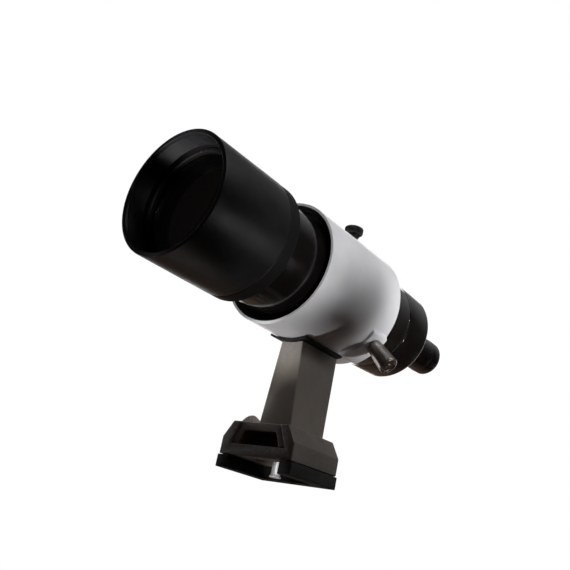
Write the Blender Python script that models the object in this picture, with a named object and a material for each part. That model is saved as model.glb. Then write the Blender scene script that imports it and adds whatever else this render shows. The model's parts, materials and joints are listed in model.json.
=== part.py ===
"""A 9x50 straight-through finder scope in its bracket and shoe, at real size.

Frame: metres, +Z up, the objective faces -Y. The origin is the middle of the face that rests on the
telescope, on the end of the locating stud. Stations along the optical axis are measured from the
front rim, rearwards.
"""

import math

import bmesh
import bpy
from mathutils import Matrix, Vector

MM = 0.001
GAP = 0.3 * MM            # clearance kept between pieces that touch
ROUND = 48                # facets round a large turned piece
SMALL_ROUND = 24          # facets round a small turned piece

# Where the optical axis lies over the telescope
AXIS_HEIGHT = 100.3 * MM
FRONT_RIM_Y = -105.5 * MM

# Stations along the optical axis
LENS_SEAT = 13.6 * MM
BARREL_END = 44.1 * MM
LOCK_RING_END = 52.4 * MM
TUBE_START = 26.5 * MM
RING_START = 75.6 * MM
O_RING_STATION = 82.2 * MM
SCREW_STATION = 132.0 * MM
PLUNGER_STATION = 135.0 * MM
RING_END = 140.6 * MM
TUBE_END = 161.9 * MM
CAP_START = 162.5 * MM
CAP_END = 183.6 * MM
EYEPIECE_START = 160.0 * MM
EYEPIECE_END = 231.0 * MM

# Radii about the optical axis
BARREL_R = 30.5 * MM
BARREL_BORE_R = 28.0 * MM
LENS_R = 26.6 * MM
TUBE_R = 26.6 * MM
TUBE_BORE_R = 24.8 * MM
THREAD_BORE_R = 27.0 * MM
RING_R = 32.4 * MM
RING_BORE_R = 29.3 * MM
EYEPIECE_R = 10.9 * MM
EYEPIECE_BORE_R = 9.2 * MM
O_RING_R = 28.4 * MM
O_RING_THICK = 1.45 * MM

# Shoe, dovetail and stalk
SHOE_LENGTH = 36.8 * MM
SHOE_HALF_WIDTH = 22.2 * MM
SHOE_TOP_HALF = 17.1 * MM
SHOE_BOTTOM = 6.3 * MM
SHOE_SHOULDER = 14.6 * MM
SHOE_TOP = 22.6 * MM
CHANNEL_FLOOR = 11.7 * MM
CHANNEL_FLOOR_HALF = 16.7 * MM
CHANNEL_TOP_HALF = 11.9 * MM
PAD_THICK = 6.0 * MM
PAD_OVERHANG = 0.7 * MM
PAD_SLOT_HALF = 15.5 * MM
RECESS_HALF = 9.5 * MM
RECESS_TOP = 8.9 * MM
POCKET_TOP = 18.6 * MM
CLAMP_Y = 9.6 * MM
SHOE_SCREW_Y = 13.6 * MM
STALK_TOP_HALF = 6.0 * MM
STALK_BOTTOM_HALF = 10.2 * MM
STALK_TOP_FRONT = -7.5 * MM
STALK_TOP_REAR = 24.3 * MM
STALK_BOTTOM_FRONT = -8.1 * MM
STALK_BOTTOM_REAR = 18.9 * MM
GASKET_THICK = 1.2 * MM

# Thumbscrews and plunger, by distance from the optical axis
HEAD_START = 41.0 * MM
HEAD_END = 45.3 * MM
HEAD_R = 5.3 * MM
SHANK_R = 2.4 * MM
TIP_R = 2.0 * MM
BOSS_R = 33.9 * MM
PLUNGER_BASE_R = 4.1 * MM
PLUNGER_R = 5.0 * MM
PLUNGER_END = 49.4 * MM

PALETTE = {
    "satin_black": ((0.020, 0.019, 0.020), 0.42, 0.0),
    "matte_black": ((0.012, 0.011, 0.012), 0.75, 0.0),
    "gloss_black": ((0.010, 0.009, 0.009), 0.12, 0.0),
    "white_paint": ((0.80, 0.80, 0.82), 0.30, 0.0),
    "grey_paint": ((0.20, 0.19, 0.185), 0.50, 0.0),
    "shoe_paint": ((0.14, 0.13, 0.12), 0.50, 0.0),
    "knurled_grey": ((0.15, 0.13, 0.115), 0.40, 0.0),
    "rubber": ((0.014, 0.013, 0.013), 0.80, 0.0),
    "polished_rubber": ((0.012, 0.011, 0.011), 0.25, 0.0),
    "dark_nickel": ((0.20, 0.18, 0.17), 0.20, 1.0),
    "steel": ((0.56, 0.56, 0.57), 0.30, 1.0),
    "brass": ((0.78, 0.57, 0.25), 0.30, 1.0),
    "aluminium": ((0.80, 0.80, 0.80), 0.35, 1.0),
    "nylon": ((0.85, 0.84, 0.80), 0.45, 0.0),
    "glass": ((0.75, 0.85, 0.85), 0.02, 0.0),
}


def clear_scene():
    for obj in list(bpy.data.objects):
        bpy.data.objects.remove(obj, do_unlink=True)


def material(name, finish):
    colour, roughness, metallic = PALETTE[finish]
    made = bpy.data.materials.new(name)
    made.use_nodes = True
    shader = made.node_tree.nodes["Principled BSDF"]
    shader.inputs["Base Color"].default_value = (*colour, 1.0)
    shader.inputs["Roughness"].default_value = roughness
    shader.inputs["Metallic"].default_value = metallic
    return made


def empty(name, place, rotation=None, parent=None):
    """A frame that pieces are parented to; a moving piece's frame lies on its joint's axis."""
    made = bpy.data.objects.new(name, None)
    bpy.context.scene.collection.objects.link(made)
    made.parent = parent
    made.location = place
    if rotation is not None:
        made.rotation_euler = rotation
    return made


def add(name, bm, finish, parent=None, smooth=True):
    bmesh.ops.remove_doubles(bm, verts=bm.verts, dist=0.001 * MM)
    bmesh.ops.recalc_face_normals(bm, faces=bm.faces)
    mesh = bpy.data.meshes.new(name)
    bm.to_mesh(mesh)
    bm.free()
    if smooth:
        mesh.shade_smooth()
        mesh.set_sharp_from_angle(angle=math.radians(35))
    obj = bpy.data.objects.new(name, mesh)
    bpy.context.scene.collection.objects.link(obj)
    obj.parent = parent
    mesh.materials.append(material(name + "_material", finish))
    return obj


def turned_mesh(profile, steps=ROUND, closed=True):
    """Spins (station, radius) points about local Z; points on the axis close the shape."""
    bm = bmesh.new()
    verts = [bm.verts.new((radius, 0.0, station)) for station, radius in profile]
    pairs = list(zip(verts, verts[1:]))
    if closed:
        pairs.append((verts[-1], verts[0]))
    for first, second in pairs:
        bm.edges.new((first, second))
    bmesh.ops.spin(bm, geom=bm.verts[:] + bm.edges[:], cent=(0, 0, 0), axis=(0, 0, 1),
                   angle=2 * math.pi, steps=steps, use_merge=True)
    return bm


def turned(name, profile, finish, parent, steps=ROUND, closed=True):
    return add(name, turned_mesh(profile, steps, closed), finish, parent)


def prism_mesh(outline, start, end):
    """Extrudes an outline of (x, z) points along Y."""
    bm = bmesh.new()
    base = bm.faces.new([bm.verts.new((x, start, z)) for x, z in outline])
    grown = bmesh.ops.extrude_face_region(bm, geom=[base])
    moved = [item for item in grown["geom"] if isinstance(item, bmesh.types.BMVert)]
    bmesh.ops.translate(bm, verts=moved, vec=(0, end - start, 0))
    return bm


def box_mesh(low, high):
    outline = [(low[0], low[2]), (high[0], low[2]), (high[0], high[2]), (low[0], high[2])]
    return prism_mesh(outline, low[1], high[1])


def disc_profile(start, end, radius):
    return [(start, 0.0), (start, radius), (end, radius), (end, 0.0)]


def ring_profile(start, end, inner, outer, chamfer=0.0):
    return [
        (start, inner),
        (start, outer - chamfer),
        (start + chamfer, outer),
        (end - chamfer, outer),
        (end, outer - chamfer),
        (end, inner),
    ] if chamfer else [(start, inner), (start, outer), (end, outer), (end, inner)]


def helper(obj):
    """Marks an object as a cutter or a block that a Boolean uses."""
    obj.hide_render = True
    obj.display_type = "WIRE"
    return obj


def combine(target, tool, operation):
    step = target.modifiers.new(operation.lower(), "BOOLEAN")
    step.operation = operation
    step.solver = "EXACT"
    step.object = helper(tool)


def round_edges(obj, width, segments=2, angle=30):
    step = obj.modifiers.new("bevel", "BEVEL")
    step.width = width
    step.segments = segments
    step.limit_method = "ANGLE"
    step.angle_limit = math.radians(angle)


def radial_frame(name, parent, station, angle):
    """A frame at the optical axis whose local Z points out at this angle from +X towards +Z."""
    direction = Vector((math.cos(angle), 0.0, math.sin(angle)))
    turn = Vector((0, 0, 1)).rotation_difference(direction).to_euler()
    place = Vector((0, FRONT_RIM_Y + station, AXIS_HEIGHT))
    return empty(name, place, turn, parent)


def lens_profile(front_edge, front_middle, rear_edge, rear_middle, radius, steps=3):
    """Two shallow domes joined at the rim, from the front middle to the rear middle."""
    points = []
    for step in range(steps + 1):
        share = step / steps
        points.append((front_middle + (front_edge - front_middle) * share**2, radius * share))
    for step in range(steps, -1, -1):
        share = step / steps
        points.append((rear_middle + (rear_edge - rear_middle) * share**2, radius * share))
    return points


def knurled_mesh(start, end, radius, teeth, depth, edge):
    """A knurled disc along local Z with a bevelled edge and a solid middle."""
    bm = bmesh.new()
    levels = [(start, radius - edge), (start + edge, radius), (end - edge, radius), (end, radius - edge)]
    rings = []
    for height, outer in levels:
        ring = []
        for tooth in range(2 * teeth):
            angle = math.pi * tooth / teeth
            reach = outer - (depth if tooth % 2 else 0.0)
            ring.append(bm.verts.new((reach * math.cos(angle), reach * math.sin(angle), height)))
        rings.append(ring)
    count = 2 * teeth
    for lower, upper in zip(rings, rings[1:]):
        for index in range(count):
            after = (index + 1) % count
            bm.faces.new((lower[index], lower[after], upper[after], upper[index]))
    bm.faces.new(list(reversed(rings[0])))
    bm.faces.new(rings[-1])
    return bm


def thumbscrew(name, finish, parent, shank_start, head_start, head_end, head_r, shank_r, teeth):
    """A knurled head on a round shank, along local Z."""
    head = add(name, knurled_mesh(head_start, head_end, head_r, teeth, 0.35 * MM, 0.6 * MM),
               finish, parent, smooth=False)
    shank = add(name + "_shank", turned_mesh(disc_profile(shank_start, head_start + 1 * MM, shank_r),
                SMALL_ROUND, closed=False), finish, parent)
    collar = add(name + "_collar", turned_mesh(disc_profile(head_start - 1.6 * MM, head_start + 1 * MM,
                 shank_r + 1.1 * MM), SMALL_ROUND, closed=False), finish, parent)
    combine(head, shank, "UNION")
    combine(head, collar, "UNION")
    return head


def slope_direction():
    """The outward normal of the shoe's far shoulder, which the clamp screw goes through."""
    drop = SHOE_TOP - SHOE_SHOULDER
    run = SHOE_HALF_WIDTH - SHOE_TOP_HALF
    return Vector((-drop, 0.0, run)).normalized()


def flank(height, slack=0.0):
    """Half the channel's width at this height; slack narrows it for the foot."""
    share = (height - CHANNEL_FLOOR) / (SHOE_TOP - CHANNEL_FLOOR)
    return CHANNEL_FLOOR_HALF + (CHANNEL_TOP_HALF - CHANNEL_FLOOR_HALF) * share - slack


def build_shoe():
    half = SHOE_LENGTH / 2
    outline = [
        (-SHOE_HALF_WIDTH, SHOE_BOTTOM),
        (SHOE_HALF_WIDTH, SHOE_BOTTOM),
        (SHOE_HALF_WIDTH, SHOE_SHOULDER),
        (SHOE_TOP_HALF, SHOE_TOP),
        (CHANNEL_TOP_HALF, SHOE_TOP),
        (CHANNEL_FLOOR_HALF, CHANNEL_FLOOR),
        (-CHANNEL_FLOOR_HALF, CHANNEL_FLOOR),
        (-CHANNEL_TOP_HALF, SHOE_TOP),
        (-SHOE_TOP_HALF, SHOE_TOP),
        (-SHOE_HALF_WIDTH, SHOE_SHOULDER),
    ]
    shoe = add("shoe", prism_mesh(outline, -half, half), "shoe_paint", smooth=False)
    round_edges(shoe, 0.5 * MM, segments=1)
    reach = RECESS_HALF
    recess = add("shoe_recess", box_mesh((-reach, -reach, 0), (reach, reach, RECESS_TOP)), "shoe_paint")
    combine(shoe, recess, "DIFFERENCE")
    stud_hole = turned_mesh(disc_profile(RECESS_TOP - 1 * MM, CHANNEL_FLOOR - 0.8 * MM, 2.3 * MM + GAP),
                            SMALL_ROUND, closed=False)
    combine(shoe, add("stud_hole", stud_hole, "shoe_paint"), "DIFFERENCE")
    for name, side in (("shoe_screw_front", -1), ("shoe_screw_rear", 1)):
        frame = empty(name + "_frame", (0, side * SHOE_SCREW_Y, 0))
        hole = turned_mesh([(0, 0), (0, 2.3 * MM), (CHANNEL_FLOOR - 2.8 * MM, 2.3 * MM),
                            (CHANNEL_FLOOR - 2.8 * MM, 3.9 * MM), (CHANNEL_FLOOR + 1 * MM, 3.9 * MM),
                            (CHANNEL_FLOOR + 1 * MM, 0)], SMALL_ROUND, closed=False)
        combine(shoe, add(name + "_hole", hole, "steel", frame), "DIFFERENCE")
        screw = [(SHOE_BOTTOM, 0), (SHOE_BOTTOM, 1.7 * MM), (SHOE_BOTTOM + GAP, 2.0 * MM),
                 (CHANNEL_FLOOR - 2.5 * MM, 2.0 * MM), (CHANNEL_FLOOR - 2.5 * MM, 3.5 * MM),
                 (CHANNEL_FLOOR - 0.3 * MM, 3.2 * MM), (CHANNEL_FLOOR - 0.3 * MM, 1.5 * MM),
                 (CHANNEL_FLOOR - 1.6 * MM, 1.5 * MM), (CHANNEL_FLOOR - 1.6 * MM, 0)]
        turned(name, screw, "steel", frame, 18, closed=False)
    clamp_frame = build_clamp()
    bore = turned_mesh(disc_profile(-12 * MM, 12 * MM, SHANK_R + GAP), SMALL_ROUND, closed=False)
    combine(shoe, add("clamp_bore", bore, "shoe_paint", clamp_frame), "DIFFERENCE")
    stud = [(0, 0), (0, 3.0 * MM), (0.5 * MM, 3.0 * MM), (1.3 * MM, 2.3 * MM),
            (CHANNEL_FLOOR - 1.1 * MM, 2.3 * MM), (CHANNEL_FLOOR - 1.1 * MM, 0)]
    turned("locating_stud", stud, "aluminium", None, SMALL_ROUND, closed=False)
    build_pad(half)


def build_pad(half):
    wide = SHOE_HALF_WIDTH + PAD_OVERHANG
    pad = add("saddle_pad", box_mesh((-wide, -half, 0), (wide, half, PAD_THICK)), "rubber", smooth=False)
    reach = PAD_SLOT_HALF
    slot = box_mesh((-reach, -2 * half, -1 * MM), (reach, 10 * MM, PAD_THICK + 1 * MM))
    combine(pad, add("pad_slot", slot, "rubber"), "DIFFERENCE")
    hole = turned_mesh(disc_profile(-1 * MM, PAD_THICK + 1 * MM, 2.4 * MM), SMALL_ROUND, closed=False)
    frame = empty("pad_hole_frame", (0, SHOE_SCREW_Y, 0))
    combine(pad, add("pad_hole", hole, "rubber", frame), "DIFFERENCE")


def build_clamp():
    """The clamp screw and its plug, in a frame on the shoe's far shoulder, behind its middle."""
    outward = slope_direction()
    middle = Vector((-(SHOE_HALF_WIDTH + SHOE_TOP_HALF) / 2, CLAMP_Y, (SHOE_SHOULDER + SHOE_TOP) / 2))
    turn = Vector((0, 0, 1)).rotation_difference(outward).to_euler()
    frame = empty("clamp_axis", middle, turn)
    wall = clamp_wall(middle, outward)
    turned("clamp_plug", disc_profile(-wall + 0.5 * MM, -wall + 2.3 * MM, 2.1 * MM), "brass", frame, 16,
           closed=False)
    thumbscrew("clamp_screw", "knurled_grey", frame, -wall + 2.6 * MM, 7.8 * MM, 15.8 * MM, 5.6 * MM,
               SHANK_R, 22)
    return frame


def clamp_wall(middle, outward):
    """How far the channel's flank lies behind the shoulder, along the clamp screw."""
    run = CHANNEL_FLOOR_HALF - CHANNEL_TOP_HALF
    rise = SHOE_TOP - CHANNEL_FLOOR
    normal = Vector((-rise, 0.0, run)).normalized()
    on_flank = Vector((-CHANNEL_TOP_HALF, 0, SHOE_TOP))
    return (middle - on_flank).dot(normal) / outward.dot(normal)


def build_stalk():
    foot_bottom = CHANNEL_FLOOR + GAP
    slack = 0.35 * MM
    half = SHOE_LENGTH / 2
    outline = [
        (-flank(foot_bottom, slack), foot_bottom),
        (flank(foot_bottom, slack), foot_bottom),
        (flank(SHOE_TOP, slack), SHOE_TOP),
        (-flank(SHOE_TOP, slack), SHOE_TOP),
    ]
    stalk = add("bracket_stalk", prism_mesh(outline, -half + 1 * MM, half - 0.4 * MM), "grey_paint",
                smooth=False)
    pocket = [
        (-13.4 * MM, foot_bottom - 1 * MM),
        (13.4 * MM, foot_bottom - 1 * MM),
        (9.6 * MM, POCKET_TOP),
        (-9.6 * MM, POCKET_TOP),
    ]
    cutter = add("foot_pocket", prism_mesh(pocket, -half, -half + 15 * MM), "grey_paint")
    combine(stalk, cutter, "DIFFERENCE")
    combine(stalk, build_post(), "UNION")
    ring_cut = turned_mesh(disc_profile(RING_START - 20 * MM, RING_END + 20 * MM,
                           RING_R + GASKET_THICK + 2 * GAP), 2 * ROUND, closed=False)
    combine(stalk, add("stalk_saddle_cut", ring_cut, "grey_paint", optical_frame("stalk_saddle")),
            "DIFFERENCE")
    return stalk


def build_post():
    """The tapered post between the foot and the ring, with softened upright edges."""
    bm = bmesh.new()
    low = SHOE_TOP - 1.5 * MM
    high = AXIS_HEIGHT - 28 * MM
    corners = []
    for height, wide, front, rear in (
        (low, STALK_BOTTOM_HALF, STALK_BOTTOM_FRONT, STALK_BOTTOM_REAR),
        (high, STALK_TOP_HALF, STALK_TOP_FRONT, STALK_TOP_REAR),
    ):
        places = ((-wide, front), (wide, front), (wide, rear), (-wide, rear))
        corners.append([bm.verts.new((x, y, height)) for x, y in places])
    lower, upper = corners
    for index in range(4):
        after = (index + 1) % 4
        bm.faces.new((lower[index], lower[after], upper[after], upper[index]))
    bm.faces.new(list(reversed(lower)))
    bm.faces.new(upper)
    post = add("stalk_post", bm, "grey_paint", smooth=False)
    round_edges(post, 0.7 * MM)
    return post


def optical_frame(name, station=0.0, parent=None):
    """A frame whose local Z runs along the optical axis, rearwards; its origin is at the station."""
    place = (0, FRONT_RIM_Y + station, AXIS_HEIGHT)
    return empty(name, place, (-math.pi / 2, 0, 0), parent)


def build_gasket():
    """A thin saddle bent round the underside of the ring, set a little to the far side."""
    near = 9.2 * MM
    far = -13.2 * MM
    front = -9.4 * MM
    rear = 23.8 * MM
    bm = bmesh.new()
    outline = [(far, front), (near, front), (near, rear), (far, rear)]
    base = bm.faces.new([bm.verts.new((x, y, AXIS_HEIGHT - 40 * MM)) for x, y in outline])
    grown = bmesh.ops.extrude_face_region(bm, geom=[base])
    moved = [item for item in grown["geom"] if isinstance(item, bmesh.types.BMVert)]
    bmesh.ops.translate(bm, verts=moved, vec=(0, 0, 20 * MM))
    gasket = add("stalk_gasket", bm, "rubber", smooth=False)
    inner = RING_R + GAP
    shell = turned_mesh(ring_profile(RING_START, RING_END, inner, inner + GASKET_THICK), 2 * ROUND)
    combine(gasket, add("gasket_shell", shell, "rubber", optical_frame("gasket_axis")), "INTERSECT")
    return gasket


def ring_bolts(ring, gasket, stalk):
    """Two countersunk bolts from inside the ring down into the post, with their holes."""
    for name, offset in (("ring_bolt_front", 0.0), ("ring_bolt_rear", 17.0 * MM)):
        frame = empty(name + "_frame", (0, offset, AXIS_HEIGHT), (math.pi, 0, 0))
        bolt = [(28.5 * MM, 0), (28.5 * MM, 3.2 * MM), (30.1 * MM, 3.2 * MM), (30.1 * MM, 1.9 * MM),
                (44.0 * MM, 1.9 * MM), (44.0 * MM, 0)]
        turned(name, bolt, "steel", frame, 18, closed=False)
        hole = [(20 * MM, 0), (20 * MM, 3.6 * MM), (30.4 * MM, 3.6 * MM), (30.4 * MM, 2.2 * MM),
                (45.0 * MM, 2.2 * MM), (45.0 * MM, 0)]
        cutter = add(name + "_hole", turned_mesh(hole, 18, closed=False), "steel", frame)
        for piece in (ring, gasket, stalk):
            combine(piece, cutter, "DIFFERENCE")


def build_ring():
    lip = 0.7 * MM
    groove = 2.3 * MM
    groove_r = 30.5 * MM
    mouth_r = 30.9 * MM
    profile = [
        (RING_START, mouth_r),
        (RING_START, RING_R - 0.4 * MM),
        (RING_START + 0.4 * MM, RING_R),
        (RING_END - lip, RING_R),
        (RING_END, RING_R - lip),
        (RING_END, RING_BORE_R),
        (O_RING_STATION + groove, RING_BORE_R),
        (O_RING_STATION + groove, groove_r),
        (O_RING_STATION - groove, groove_r),
        (O_RING_STATION - groove, RING_BORE_R),
        (RING_START + 3.1 * MM, RING_BORE_R),
        (RING_START + 3.1 * MM, mouth_r),
    ]
    ring = turned("bracket_ring", profile, "white_paint", optical_frame("ring_axis"))
    combine(ring, build_boss(), "UNION")
    bores = (("top", 90, SCREW_STATION, SHANK_R), ("side", 180, SCREW_STATION, SHANK_R),
             ("plunger", -45, PLUNGER_STATION, 3.0 * MM))
    for name, degrees, station, radius in bores:
        frame = radial_frame(name + "_bore_frame", None, station, math.radians(degrees))
        bore = turned_mesh(disc_profile(20 * MM, 40 * MM, radius + GAP), SMALL_ROUND, closed=False)
        combine(ring, add(name + "_bore", bore, "white_paint", frame), "DIFFERENCE")
    return ring


def build_boss():
    """The raised band under the plunger: an arc of a slightly larger ring."""
    bm = bmesh.new()
    start = -72
    end = -33
    steps = 8
    sections = []
    for step in range(steps + 1):
        angle = math.radians(start + (end - start) * step / steps)
        edge = step in (0, steps)
        outer = BOSS_R - (0.9 * MM if edge else 0.0)
        lean = max(0.0, -50 - math.degrees(angle)) / 22
        front = RING_END - (13.4 + 2.6 * lean) * MM
        rear = RING_END - 0.1 * MM
        corners = ((RING_BORE_R + 1 * MM, front), (outer - 0.4 * MM, front), (outer, front + 0.5 * MM),
                   (outer, rear - 0.6 * MM), (outer - 0.6 * MM, rear), (RING_BORE_R + 1 * MM, rear))
        sections.append([bm.verts.new((reach * math.cos(angle), FRONT_RIM_Y + station,
                                       AXIS_HEIGHT + reach * math.sin(angle)))
                         for reach, station in corners])
    for first, second in zip(sections, sections[1:]):
        for index in range(len(first)):
            after = (index + 1) % len(first)
            bm.faces.new((first[index], first[after], second[after], second[index]))
    bm.faces.new(sections[0])
    bm.faces.new(list(reversed(sections[-1])))
    return add("plunger_boss", bm, "white_paint")


def build_aiming():
    """Two thumbscrews with nylon tips, and the sprung plunger that pushes against them."""
    for name, degrees in (("top", 90), ("side", 180)):
        frame = radial_frame(name + "_axis", None, SCREW_STATION, math.radians(degrees))
        tip = disc_profile(TUBE_R + GAP, 29.4 * MM, TIP_R)
        turned(name + "_tip", tip, "nylon", frame, 16, closed=False)
        thumbscrew(name + "_screw", "gloss_black", frame, 29.7 * MM, HEAD_START, HEAD_END, HEAD_R,
                   SHANK_R, 24)
    frame = radial_frame("plunger_axis", None, PLUNGER_STATION, math.radians(-45))
    nose = 3.0 * MM
    bore = 1.9 * MM
    body = [
        (46.4 * MM, 0), (46.4 * MM, bore), (29.8 * MM, bore), (29.8 * MM, nose), (BOSS_R + GAP, nose),
        (BOSS_R + GAP, PLUNGER_BASE_R - 0.3 * MM), (BOSS_R + 0.7 * MM, PLUNGER_BASE_R),
        (PLUNGER_END - 0.6 * MM, PLUNGER_R), (PLUNGER_END, PLUNGER_R - 0.6 * MM),
        (PLUNGER_END, 3.7 * MM), (PLUNGER_END - 0.5 * MM, 3.4 * MM), (PLUNGER_END - 0.5 * MM, 1.4 * MM),
        (PLUNGER_END - 0.1 * MM, 1.0 * MM), (PLUNGER_END - 0.1 * MM, 0),
    ]
    turned("plunger_body", body, "dark_nickel", frame, 32, closed=False)
    pin = [(27.4 * MM, 0), (27.4 * MM, 1.0 * MM), (28.0 * MM, 1.5 * MM), (36.0 * MM, 1.5 * MM),
           (36.0 * MM, 0)]
    turned("plunger_pin", pin, "steel", frame, 16, closed=False)
    build_spring(frame, 37.0 * MM, 45.9 * MM)


def build_spring(frame, start, end):
    """A wire coil along local Z, made as a swept round wire."""
    turns = 5
    per_turn = 10
    wire = 0.28 * MM
    coil = 1.25 * MM
    sides = 6
    bm = bmesh.new()
    rings = []
    count = turns * per_turn
    span = end - start - 2 * wire
    for step in range(count + 1):
        angle = 2 * math.pi * step / per_turn
        centre = Vector((coil * math.cos(angle), coil * math.sin(angle), start + wire + span * step / count))
        outward = Vector((math.cos(angle), math.sin(angle), 0))
        ring = []
        for side in range(sides):
            around = 2 * math.pi * side / sides
            offset = outward * (wire * math.cos(around)) + Vector((0, 0, wire * math.sin(around)))
            ring.append(bm.verts.new(centre + offset))
        rings.append(ring)
    for first, second in zip(rings, rings[1:]):
        for side in range(sides):
            after = (side + 1) % sides
            bm.faces.new((first[side], first[after], second[after], second[side]))
    bm.faces.new(rings[0])
    bm.faces.new(list(reversed(rings[-1])))
    return add("plunger_spring", bm, "steel", frame)


def build_o_ring():
    profile = []
    sides = 10
    for side in range(sides):
        angle = 2 * math.pi * side / sides
        profile.append((O_RING_THICK * math.sin(angle), O_RING_R + O_RING_THICK * math.cos(angle)))
    turned("front_o_ring", profile, "rubber", optical_frame("tilt_centre", O_RING_STATION))


def build_objective(axis):
    barrel = [
        (0, 28.6 * MM), (0, BARREL_R - 0.4 * MM), (0.4 * MM, BARREL_R), (BARREL_END, BARREL_R),
        (BARREL_END, THREAD_BORE_R), (24.0 * MM, THREAD_BORE_R), (24.0 * MM, 24.6 * MM),
        (21.6 * MM, 24.6 * MM), (21.6 * MM, THREAD_BORE_R), (LENS_SEAT, THREAD_BORE_R),
        (LENS_SEAT, BARREL_BORE_R), (1.0 * MM, BARREL_BORE_R - 0.3 * MM),
    ]
    turned("dew_shield", barrel, "satin_black", axis)
    retainer = [
        (10.4 * MM, 26.4 * MM), (10.4 * MM, 27.7 * MM), (13.3 * MM, 27.7 * MM), (13.3 * MM, 25.4 * MM),
        (12.4 * MM, 25.4 * MM),
    ]
    retainer_ring = turned("objective_retainer", retainer, "matte_black", axis)
    for name, side in (("retainer_slot_top", 1), ("retainer_slot_bottom", -1)):
        middle = AXIS_HEIGHT + side * 26.6 * MM
        start = FRONT_RIM_Y + 9 * MM
        slot = box_mesh((-1.2 * MM, start, middle - 2 * MM), (1.2 * MM, start + 2.4 * MM, middle + 2 * MM))
        combine(retainer_ring, add(name, slot, "matte_black"), "DIFFERENCE")
    crown = lens_profile(13.7 * MM, 11.3 * MM, 15.7 * MM, 17.4 * MM, LENS_R)
    turned("objective_crown", crown, "glass", axis, 32, closed=False)
    turned("objective_spacer", ring_profile(16.1 * MM, 16.9 * MM, 25.4 * MM, LENS_R), "matte_black", axis, 32)
    flint = lens_profile(17.2 * MM, 18.2 * MM, 21.3 * MM, 21.0 * MM, LENS_R)
    turned("objective_flint", flint, "glass", axis, 32, closed=False)
    lock = [
        (BARREL_END + GAP, THREAD_BORE_R), (BARREL_END + GAP, 30.0 * MM), (BARREL_END + 0.7 * MM, 30.4 * MM),
        (LOCK_RING_END - 0.8 * MM, 30.4 * MM), (LOCK_RING_END, 29.5 * MM), (LOCK_RING_END, THREAD_BORE_R),
    ]
    turned("lock_ring", lock, "matte_black", axis)


def build_tube(axis):
    tube = [
        (TUBE_START, TUBE_BORE_R), (TUBE_START, TUBE_R), (TUBE_END - 0.3 * MM, TUBE_R),
        (TUBE_END, TUBE_R - 0.3 * MM), (TUBE_END, TUBE_BORE_R),
    ]
    turned("main_tube", tube, "gloss_black", axis)
    for name, station, opening in (("baffle_front", 70 * MM, 20.5 * MM), ("baffle_rear", 118 * MM, 15.0 * MM)):
        turned(name, ring_profile(station, station + 1.2 * MM, opening, TUBE_BORE_R - GAP), "matte_black",
               axis, 32)
    cap = [
        (CAP_START - 7 * MM, 22.6 * MM), (CAP_START - 7 * MM, TUBE_BORE_R - GAP),
        (CAP_START, TUBE_BORE_R - GAP), (CAP_START, TUBE_R - 0.3 * MM), (CAP_START + 0.3 * MM, TUBE_R),
        (CAP_END - 1.0 * MM, TUBE_R), (CAP_END, TUBE_R - 1.0 * MM), (CAP_END, EYEPIECE_R + GAP),
        (CAP_END - 9 * MM, EYEPIECE_R + GAP), (CAP_END - 9 * MM, 15 * MM), (CAP_END - 4 * MM, 19 * MM),
        (CAP_END - 4 * MM, 22.6 * MM),
    ]
    turned("rear_cap", cap, "gloss_black", axis)


def build_eyepiece(axis):
    nose = 9.9 * MM
    cup_start = EYEPIECE_END - 9.7 * MM
    tube = [
        (EYEPIECE_START, EYEPIECE_BORE_R), (EYEPIECE_START, EYEPIECE_R), (cup_start - GAP, EYEPIECE_R),
        (cup_start - GAP, nose), (EYEPIECE_END - 5 * MM, nose), (EYEPIECE_END - 5 * MM, EYEPIECE_BORE_R),
    ]
    turned("eyepiece_tube", tube, "gloss_black", axis, 36)
    cup = [
        (cup_start, nose + GAP), (cup_start, EYEPIECE_R), (EYEPIECE_END - 1.2 * MM, EYEPIECE_R),
        (EYEPIECE_END, EYEPIECE_R - 1.2 * MM), (EYEPIECE_END, 7.4 * MM), (EYEPIECE_END - 1.6 * MM, 6.4 * MM),
        (EYEPIECE_END - 4.7 * MM, 6.4 * MM), (EYEPIECE_END - 4.7 * MM, nose + GAP),
    ]
    turned("eyecup", cup, "polished_rubber", axis, 36)
    inner = EYEPIECE_BORE_R - GAP
    field = lens_profile(178.0 * MM, 177.0 * MM, 181.0 * MM, 181.0 * MM, inner, 2)
    turned("eye_field_lens", field, "glass", axis, 24, closed=False)
    eye = lens_profile(218.6 * MM, 217.2 * MM, 220.6 * MM, 221.6 * MM, inner, 2)
    turned("eye_lens", eye, "glass", axis, 24, closed=False)
    turned("eye_retainer", ring_profile(223.0 * MM, 225.4 * MM, 7.4 * MM, inner), "matte_black", axis, 24)
    build_reticle(axis, inner)


def build_reticle(axis, outer):
    station = 170 * MM
    cell = turned("reticle_cell", ring_profile(station, station + 3 * MM, 7.6 * MM, outer), "matte_black",
                  axis, 24)
    wire = 0.15 * MM
    reach = 8.2 * MM
    spans = (("reticle_wire_level", reach, wire), ("reticle_wire_upright", wire, reach))
    start = FRONT_RIM_Y + station + 1 * MM
    for name, wide, high in spans:
        low = (-wide, start, AXIS_HEIGHT - high)
        wires = box_mesh(low, (wide, start + 2 * wire, AXIS_HEIGHT + high))
        combine(cell, add(name, wires, "steel"), "UNION")


def main():
    clear_scene()
    build_shoe()
    stalk = build_stalk()
    gasket = build_gasket()
    ring = build_ring()
    ring_bolts(ring, gasket, stalk)
    build_aiming()
    build_o_ring()
    axis = optical_frame("optical_axis")
    build_objective(axis)
    build_tube(axis)
    build_eyepiece(axis)
    bpy.context.view_layer.update()


main()
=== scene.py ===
"""Looks for a 9x50 finder scope: detailed pieces, procedural materials, camera, floor and studio light.

The frame is the CAD's: +Z up, the objective faces -Y, and the origin is under the shoe. Pieces are drawn
in millimetres and scaled to metres. A station is a distance in mm along the optical axis, from the front
rim rearwards. Turned profiles are lists of (station, radius) or (station, radius, rounding).
"""

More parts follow.
